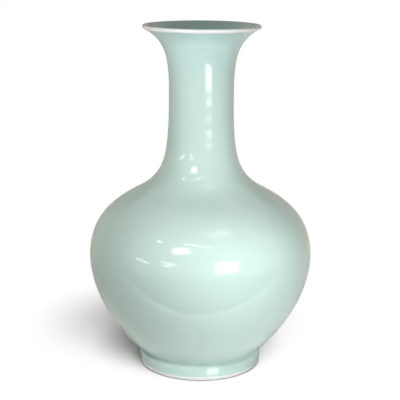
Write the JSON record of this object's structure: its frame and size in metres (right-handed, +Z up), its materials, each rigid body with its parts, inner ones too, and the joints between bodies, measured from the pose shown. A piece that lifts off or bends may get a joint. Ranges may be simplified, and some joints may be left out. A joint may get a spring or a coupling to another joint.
{
  "type": "globe vase",
  "caption": "Glazed porcelain vase with a round belly, tall slender neck, flared mouth with a white lip, and a ring foot; holds cut flowers and water.",
  "frame": {"origin": "centre of the foot ring on the table", "axes": "+Z up along the axis of the vase; it is round, so X and Y are alike"},
  "size_m": [0.231, 0.231, 0.3556],
  "materials": {
    "celadon_glaze": "glossy pale blue-green celadon glaze",
    "white_glaze": "glossy white glaze on the lip",
    "fired_slip": "matt unglazed porcelain slip"
  },
  "bodies": {
    "root": {"foot_ring": "celadon_glaze", "foot_luting": "fired_slip", "lower_belly": "celadon_glaze", "belly_luting": "fired_slip", "upper_belly": "celadon_glaze", "shoulder_luting": "fired_slip", "neck": "celadon_glaze", "neck_luting": "fired_slip", "flared_mouth": "celadon_glaze", "white_lip": "white_glaze"}
  },
  "joints": []
}
